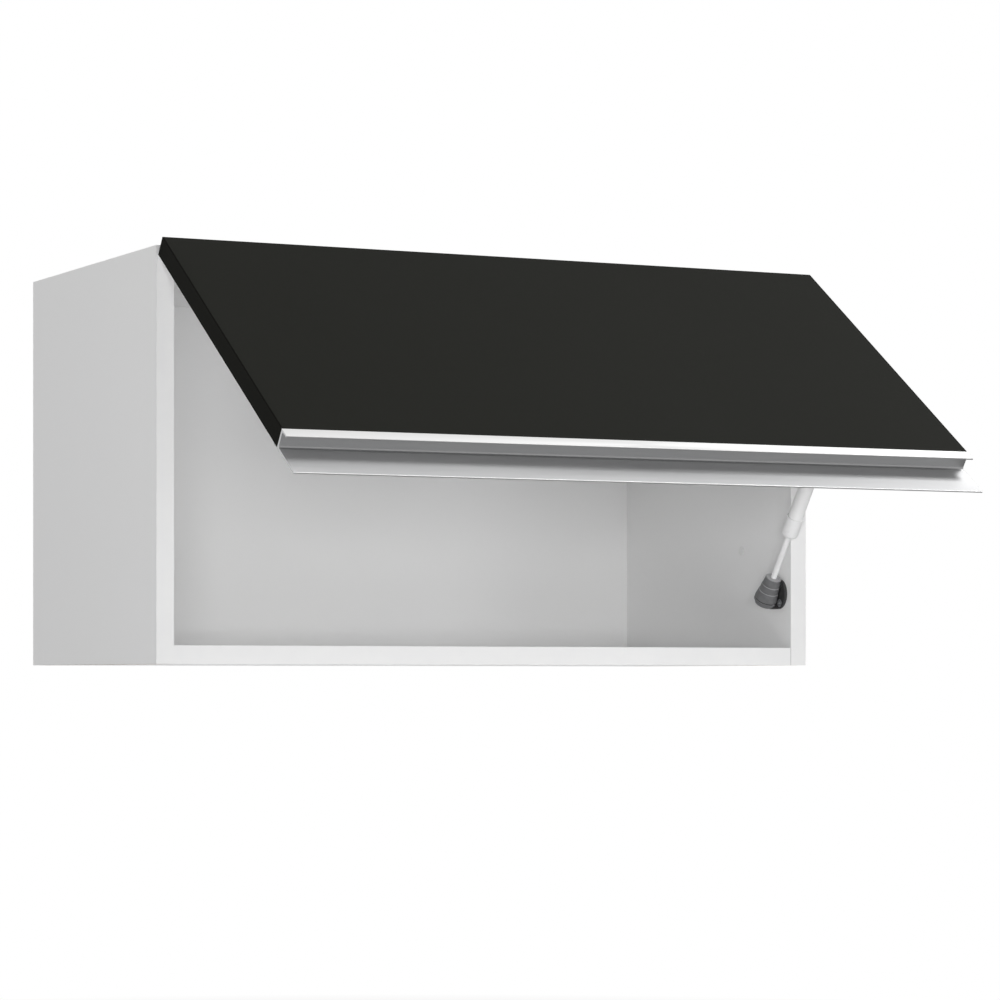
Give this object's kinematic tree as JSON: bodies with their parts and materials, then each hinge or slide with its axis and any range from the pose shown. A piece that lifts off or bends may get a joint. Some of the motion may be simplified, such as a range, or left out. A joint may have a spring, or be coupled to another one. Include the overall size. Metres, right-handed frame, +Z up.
{
  "type": "lift up wall cabinet",
  "caption": "Low, wide wall-hung cupboard box with an upward-swinging flap door, held open by a gas strut and pulled by a channel profile along its lower edge",
  "frame": {"origin": "centre of the rear face that lies on the wall, in the middle of the cabinet's width and height", "axes": "+X to the cabinet's right as seen from the front, +Y into the wall, +Z up"},
  "size_m": [0.6, 0.5731, 0.3375],
  "materials": {
    "white_board": "white melamine-faced chipboard, fine pearl texture",
    "white_back": "white-lacquered thin fibreboard",
    "white_edge": "smooth white ABS edge band",
    "beech": "fluted beech dowel, raw",
    "steel": "bright zinc-plated steel",
    "zinc": "die-cast zinc, matt",
    "white_plastic": "white moulded plastic",
    "black_board": "fine-textured matt black melamine-faced board",
    "black_edge": "matt black ABS edge band",
    "aluminium": "satin anodised extruded aluminium",
    "clear_pad": "clear soft polyurethane",
    "rod_chrome": "ground and hard-chromed piston rod",
    "tube_paint": "white-painted steel pressure tube",
    "sleeve_white": "white moulded sleeve",
    "dark_plastic": "dark grey glass-filled nylon",
    "seal_rubber": "black nitrile rubber"
  },
  "bodies": {
    "carcass": {"left_side": "white_board", "right_side": "white_board", "top_panel": "white_board", "bottom_panel": "white_board", "back_panel": "white_back", "left_side_band": "white_edge", "right_side_band": "white_edge", "top_panel_band": "white_edge", "bottom_panel_band": "white_edge", "dowels": "beech", "cam_bolts": "steel", "cam_housings": "zinc", "back_nails": "steel", "hole_plugs": "white_plastic", "left_hanger_body": "white_plastic", "right_hanger_body": "white_plastic", "left_hanger_hook": "steel", "right_hanger_hook": "steel", "hanger_screws": "steel", "left_hinge_plate": "steel", "right_hinge_plate": "steel", "left_hinge_arm": "steel", "right_hinge_arm": "steel", "hinge_plate_screws": "steel", "hinge_arm_screws": "steel", "strut_base_plate": "dark_plastic", "lower_ball_stud": "steel", "strut_base_screws": "steel"},
    "door": {"door_panel": "black_board", "door_top_band": "black_edge", "door_left_band": "black_edge", "door_right_band": "black_edge", "handle_profile": "aluminium", "left_hinge_cup": "steel", "right_hinge_cup": "steel", "hinge_pins": "steel", "hinge_cup_screws": "steel", "strut_door_bracket": "steel", "bracket_rivet": "steel", "bracket_screws": "steel", "door_bumpers": "clear_pad"},
    "strut_rod_body": {"strut_rod": "rod_chrome", "strut_piston": "zinc", "lower_socket": "dark_plastic", "lower_socket_clip": "steel"},
    "strut_tube_body": {"strut_tube": "tube_paint", "strut_sleeve": "sleeve_white", "rod_guide": "dark_plastic", "rod_seal": "seal_rubber", "tube_end_plug": "zinc", "upper_socket": "dark_plastic", "upper_socket_clip": "steel", "upper_ball_stud": "steel"}
  },
  "joints": [
    {"name": "door_hinge", "type": "hinge", "parent": "carcass", "child": "door", "pos_m": [0, -0.3093, 0.1592], "axis": [-1, 0, 0], "range_deg": [-55.4, 0]},
    {"name": "strut_swing", "type": "hinge", "parent": "carcass", "child": "strut_rod_body", "pos_m": [0.276, -0.276, -0.104], "axis": [-1, 0, 0], "range_deg": [0, 45.12]},
    {"name": "strut_slide", "type": "slide", "parent": "strut_rod_body", "child": "strut_tube_body", "axis": [0, -0.584, 0.8118], "range_m": [-0.04057, 0]}
  ],
  "couplings": [
    {"joint": "strut_swing", "follows": "door_hinge", "ratio": -0.81262},
    {"joint": "strut_slide", "follows": "door_hinge", "m_per_rad": 0.041748}
  ]
}
